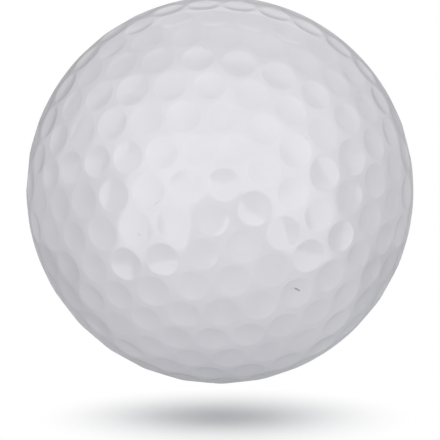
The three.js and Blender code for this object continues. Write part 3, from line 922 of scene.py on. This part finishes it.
def ledParts(number, place):
    x, y, high = led["length"] / 2, led["width"] / 2, led["height"]
    front, back = led["endSpan"]
    body = Shape("led_package", "tinned_ends", "led_phosphor")
    body.add(*slab([(-x, -y), (x, -y), (x, y - led["corner"]), (x - led["corner"], y), (-x, y)], 0, high))
    for side in (-1, 1):
        body.add(*endBlock(side, x - led["end"], x + led["plate"], (y * front, led["endLow"]),
                           (y * back, high * led["endHigh"])), finish=1)
    body.add(*disc(led["phosphor"], high, high + led["phosphorRise"], led["phosphorSides"]), finish=2)
    body.seat("led_body_%d" % number, "_package", place, led["edge"])
    rise = led["lensHeight"] - led["lip"]
    dome = [(led["lens"] * across, led["lip"] + rise * up)
            for across, up in arc((0, 0), 1, 0, 90, led["domeSteps"])[:-1]]
    profile = [(0, 0), (led["lens"], 0), *dome, (0, led["lensHeight"])]
    lens = Shape("led_resin")
    lens.add(*turned(profile, led["lensSides"]), place=shift(0, 0, high))
    lens.seat("led_lens_%d" % number, "_dome", place, sharp=led["lensSharp"])


for i, place in enumerate(ledSpots):
    ledParts(i + 1, place)
print("LEDs placed")


# Timer chip, capacitor and resistors

chip = {
    "length": 2.9, "width": 1.6, "height": 1.1, "draft": 0.06, "edge": 0.02,
    "legSpan": 2.8, "legPitch": 0.95, "leg": 0.4, "legThickness": 0.15, "legBend": 0.12, "legBendSteps": 4,
    "dot": 0.16, "dotInset": 0.4, "dotSlope": 0.04, "dotSides": 24,
    "dotHeights": (-0.01, 0.01, 0.004),       # from the chip's top: its foot, its rim and its middle
}
blocks = {
    "capacitor": (3.2, 1.6, 1.2),
    "resistor": (2, 1.25, 0.5),
    "end": 0.45,
    "proud": 0.1,                  # how far the ends stand over the body
    "bodyInset": (0.05, 0.03),     # of the body within its ends, along and across
    "filmInset": (0.08, 0.12),
    "filmHeights": (-0.02, 0.03),
    "edge": 0.08,
}


def timerChip():
    x, y, high = chip["length"] / 2, chip["width"] / 2, chip["height"]
    thick, draft, span = chip["legThickness"], chip["draft"], chip["legSpan"] / 2
    shape = Shape("chip_epoxy", "tinned_ends")
    # The body tapers both ways from the line where its mould parts
    middle = high / 2
    wide, slim = rectangle(-x, -y, x, y), rectangle(-x + draft, -y + draft, x - draft, y - draft)
    faces = band(range(4), range(4, 8)) + [(4, 5, 6, 7)]
    for tip, facing in ((high, 1), (thick, -1)):
        ends = [(a, b, middle) for a, b in wide] + [(a, b, tip) for a, b in slim]
        shape.add(ends, [face[::facing] for face in faces])
    foot, rim, crown = (high + height for height in chip["dotHeights"])
    dot = [(0, foot), (chip["dot"], foot), (chip["dot"] - chip["dotSlope"], rim), (0, crown)]
    shape.add(*turned(dot, chip["dotSides"]), place=shift(-x + chip["dotInset"], -y + chip["dotInset"], 0))
    half = [(span, thick / 2), (span - chip["leg"], thick / 2), (y + thick, middle)]
    line = bent(mirrored(half), chip["legBend"], chip["legBendSteps"])
    for i in (-1, 0, 1):
        place = shift(i * chip["legPitch"], 0, 0) @ quarterTurn
        shape.add(*bentStrip(line, thick, chip["leg"]), finish=1, place=place)
    shape.seat("controller_chip", "_epoxy", chipSpot @ quarterTurn, chip["edge"])


# A ceramic block with tinned ends, and a film on its top where it has one
def endedBlock(node, kind, size, place, body, film=None):
    length, width, high = size
    end, side, low = length / 2, width / 2, high - blocks["proud"]
    inner = end - blocks["end"]
    along, across = blocks["bodyInset"]
    x, y = end - along, side - across
    shape = Shape(body, "tinned_ends", film or body)
    shape.add(*block((-x, -y, across), (x, y, low)))
    if film:
        along, across = blocks["filmInset"]
        foot, top = (low + height for height in blocks["filmHeights"])
        x, y = inner - along, side - across
        shape.add(*block((-x, -y, foot), (x, y, top)), finish=2)
    for sign in (-1, 1):
        shape.add(*endBlock(sign, inner, end, (-side, 0), (side, high)), finish=1)
    shape.seat(node, kind, place, blocks["edge"])


timerChip()
endedBlock("timing_capacitor", "_block", blocks["capacitor"], capacitorSpot, "capacitor_ceramic")
for i, place in enumerate(resistorSpots):
    endedBlock("resistor_%d" % (i + 1), "_chip", blocks["resistor"], place, "resistor_ceramic",
               "resistor_film")
print("small parts soldered")


# Impact switch under the board: a base, a fixed pin and the spring that sways round it

switch = {
    "out": 8.279, "axis": 1.92,
    "back": -3.99, "baseLength": 1.6, "baseWidth": 2.8, "baseSides": 28, "baseEdge": 0.08,
    "hole": 0.55, "holeSides": 32, "holeReach": (-1, 3),      # from the base's back, right through it
    "pin": 0.25, "pinBack": -4.54, "pinBend": 0.6, "pinBendSteps": 10, "pinFoot": 0.5, "pinSides": 28,
    "springRoot": -1.85, "springRadius": 1.1, "wire": 0.12, "pitch": 0.8, "curls": 7, "steps": 32,
    "wireSides": 16, "pinSharp": 50, "springSharp": 60,
}
switchPlace = shift(0, switch["out"], -boardFace) @ underside


def switchBase():
    half, axis, back = switch["baseWidth"] / 2, switch["axis"], switch["back"]
    # A slab's x, y and height become y, z and x
    along = Matrix(((0, 0, 1, 0), (1, 0, 0, 0), (0, 1, 0, 0), (0, 0, 0, 1)))
    profile = [(-half, 0), (half, 0)] + arc((0, axis), half, 0, 180, switch["baseSides"])
    shape = Shape("switch_plastic")
    shape.add(*slab(profile, back, back + switch["baseLength"]), place=along)
    made = shape.piece("switch_base_block", switchPlace)
    start, end = (back + reach for reach in switch["holeReach"])
    hole = Shape("switch_plastic")
    hole.add(*disc(switch["hole"], start, end, switch["holeSides"]), place=along @ shift(0, axis, 0))
    carve(made, hole, "DIFFERENCE")
    install(made, "switch_base", switch["baseEdge"])


def switchPin():
    bend, axis, back = switch["pinBend"], switch["axis"], switch["pinBack"]
    corner = arc((back + bend, axis - bend), bend, 180, 90, switch["pinBendSteps"])
    tip = switch["springRoot"] + switch["pitch"] * switch["curls"]
    line = [(back, 0), (back, switch["pinFoot"]), *corner, (0, axis), (tip, axis)]
    shape = Shape("pin_brass")
    shape.add(*tube([(x, 0, z) for x, z in line], switch["pin"], switch["pinSides"]))
    shape.seat("switch_pin", "_wire", switchPlace, sharp=switch["pinSharp"])


def shockSpring():
    radius, wire, steps = switch["springRadius"], switch["wire"], switch["steps"]
    path = []
    for i in range(switch["curls"] * steps + 1):
        t = tau * i / steps
        x = switch["springRoot"] + switch["pitch"] * i / steps
        path.append((x, radius * cos(t), switch["axis"] + radius * sin(t)))
    # Short straight ends, square to the base
    (firstX, *first), (lastX, *last) = path[0], path[-1]
    path = [(firstX - 2 * wire, *first), *path, (lastX + 2 * wire, *last)]
    shape = Shape("spring_steel")
    shape.add(*tube(path, wire, switch["wireSides"]))
    shape.seat("shock_spring", "_wire", switchPlace, sharp=switch["springSharp"], body="spring")


switchBase()
switchPin()
shockSpring()
print("impact switch wound")


# Studio: a white floor under soft lamps, with cards and flags that only reflections show

studio = {
    "floorDrop": 0.0252,      # from the ball's centre down to the floor
    "floorSide": 6,
    "floorColour": (0.835, 0.85, 0.86, 1),
    "roughness": 0.9,
    "white": (1, 1, 1, 1),
    "black": (0, 0, 0, 1),
    # Painted shadow, partly real: the floor's glow is cut back in a stretched disc near the ball's foot,
    # and only inside it does the floor's real shadow show, so the disc sets the shadow's place, size and
    # edge
    "whiteShare": 0.13,       # of the floor's own light where the shadow falls
    "shadowReach": (0, 0.022),
    "shadowMiddle": (0.0007, -0.0018, 0),   # from the ball's foot
    "shadowShape": (1.0, 1.1, 0),
    "worldColour": (0.94, 0.97, 1, 1),
    "worldStrength": 0.18,
    "distance": 0.9,          # of lamps and upright cards
    "cardLift": 0.001,        # of a card that lies on the floor
}
# Each lamp: direction round and above the ball, width, height and brightness. Reflections show the
# cards instead of them.
lamps = {
    "front_left": (-32, 18, 0.46, 0.6, 2.05),
    "front_right": (32, 18, 0.46, 0.6, 1.95),
    "front_high": (0, 52, 0.6, 0.4, 2.45),
    "overhead": (172, 66, 0.9, 0.9, 0.55),
    "fill": (3, 4, 0.5, 0.5, 0.92),
    "back_left": (-150, 24, 0.45, 0.45, 1.2),
    "back_right": (145, 38, 0.45, 0.45, 2),
}
# Each card: corners as directions round and above the ball, or down to the floor, then brightness, and
# by what share it comes nearer. The dark flags darken the outline.
cards = {
    "arch_left": ([(-58, -1.5), (-17, -1.5), (2, 11), (-38, 37), (-56, 16)], 2.55),
    "arch_top_left": ([(-38, 37), (2, 11), (0, 68), (-20, 54)], 2.35),
    "arch_top_right": ([(2, 11), (43, 48), (24, 64), (0, 68)], 2.35),
    "arch_right": ([(2, 11), (27, -1.5), (71, -1.5), (60, 20), (43, 48)], 2.62),
    "upper_left": ([(-90, 8), (-58, 16), (-38, 37), (-20, 54), (0, 68), (0, 86), (-90, 62)], 2),
    "upper_right": ([(95, 8), (95, 62), (0, 86), (0, 68), (24, 64), (43, 48), (60, 20)], 2),
    "reflector_left": ([(-58, -1.7), (-17, -1.7), (-16, -21), (-55, -28)], 2.64),
    "reflector_right": ([(27, -1.7), (71, -1.7), (62, -28), (34, -23)], 2.42),
    "dim_strip": ([(-17, -1.7), (27, -1.7), (34, -23), (0, -50), (-16, -21)], 0.66),
    "side_left": ([(-96, 0), (-116, 0), (-116, 42), (-96, 50)], 1.8),
    "side_right": ([(98, 0), (114, 0), (114, 42), (98, 46)], 1.45),
    "crown": ([(150, 30), (210, 30), (205, 38), (180, 41), (155, 38)], 1.6),
    "flag_near": ([(-90, -22), (90, -22), (143, -13.6), (-143, -13.6)], 0.46),
    "flag_far": ([(143, -13.6), (142, -1.7), (-142, -1.7), (-143, -13.6)], 0.5),
    "flag_back": ([(142, -1.5), (218, -1.5), (211, 17), (180, 27), (149, 17)], 0.25),
    "flag_core_wall": ([(166, -1.5), (194, -1.5), (190, 4), (180, 6.5), (170, 4)], 0.12, 0.02),
    "flag_core_floor": ([(166, -1.6), (194, -1.6), (194, -15), (180, -21), (166, -15)], 0.12, 0.02),
}


# A flat piece of the stage
def addPanel(name, points, material):
    return addMesh(name, points, [tuple(range(len(points)))], material)


# 1 for a ray that shows the white around the ball, and 0 for one that lights something
def seenDirectly(start):
    names = ("Is Camera Ray", "Is Glossy Ray", "Is Transmission Ray")
    camera, glossy, clear = (start.node("ShaderNodeLightPath", output=name) for name in names)
    return camera.maths("MAXIMUM", glossy).maths("MAXIMUM", clear)


def addFloor():
    half, height = studio["floorSide"] / 2, -studio["floorDrop"]
    material, shader, place = newFinish(
        "floor_white", Base_Color=studio["floorColour"], Roughness=studio["roughness"],
        Specular_IOR_Level=0)
    # Painted shadow: the white glow fades out in a disc round the shadow's middle, where the floor's real
    # shadow shows through
    flat = place.vectors("SUBTRACT", studio["shadowMiddle"]).vectors("MULTIPLY", studio["shadowShape"])
    away = flat.vectors("LENGTH").step(*studio["shadowReach"])
    share = studio["whiteShare"] + (1 - studio["whiteShare"]) * away
    glow = place.node("ShaderNodeEmission", None, {"Color": studio["white"], "Strength": 1})
    lit = Signal(place.tree, shader.outputs[0])
    mixed = place.node("ShaderNodeMixShader", None, {0: share * seenDirectly(place), 1: lit, 2: glow})
    place.feed(place.tree.nodes["Material Output"].inputs["Surface"], mixed)
    floor = addPanel("floor", [(x, y, height) for x, y in rectangle(-half, -half, half, half)], material)


def addCard(name, corners, brightness, nearer=0):
    drop = studio["floorDrop"] - studio["cardLift"]
    points = []
    for around, above in corners:
        away = toward(around, above)
        distance = studio["distance"] if above >= 0 else -drop / away.z
        points.append(away * distance * (1 - nearer))
    material, _, _ = newFinish(
        name, Base_Color=studio["black"], Roughness=studio["roughness"], Specular_IOR_Level=0,
        Emission_Color=studio["white"], Emission_Strength=brightness)
    card = addPanel(name, points, material)
    card.visible_camera = card.visible_diffuse = card.visible_shadow = card.visible_transmission = False


def addWorld():
    world = bpy.data.worlds.new("studio")
    world.use_nodes = True
    bpy.context.scene.world = world
    start = Signal(world.node_tree)
    start.tree.nodes.remove(start.tree.nodes["Background"])
    soft, white = (
        start.node("ShaderNodeBackground", None, {"Color": colour, "Strength": strength})
        for colour, strength in ((studio["worldColour"], studio["worldStrength"]), (studio["white"], 1)))
    mixed = start.node("ShaderNodeMixShader", None, {0: seenDirectly(start), 1: soft, 2: white})
    start.feed(world.node_tree.nodes["World Output"].inputs["Surface"], mixed)


def addLamp(name, around, above, width, height, brightness):
    data = bpy.data.lights.new(name, "AREA")
    data.shape = "RECTANGLE"
    data.size, data.size_y, data.energy = width, height, brightness * pi * width * height
    lamp = addObject(name, data)
    away = toward(around, above)
    lamp.location = away * studio["distance"]
    lamp.rotation_euler = away.to_track_quat("Z", "Y").to_euler()
    lamp.visible_glossy = False


addFloor()
for name, values in cards.items():
    addCard(name, *values)
addWorld()
for name, values in lamps.items():
    addLamp(name, *values)
print("studio lit")
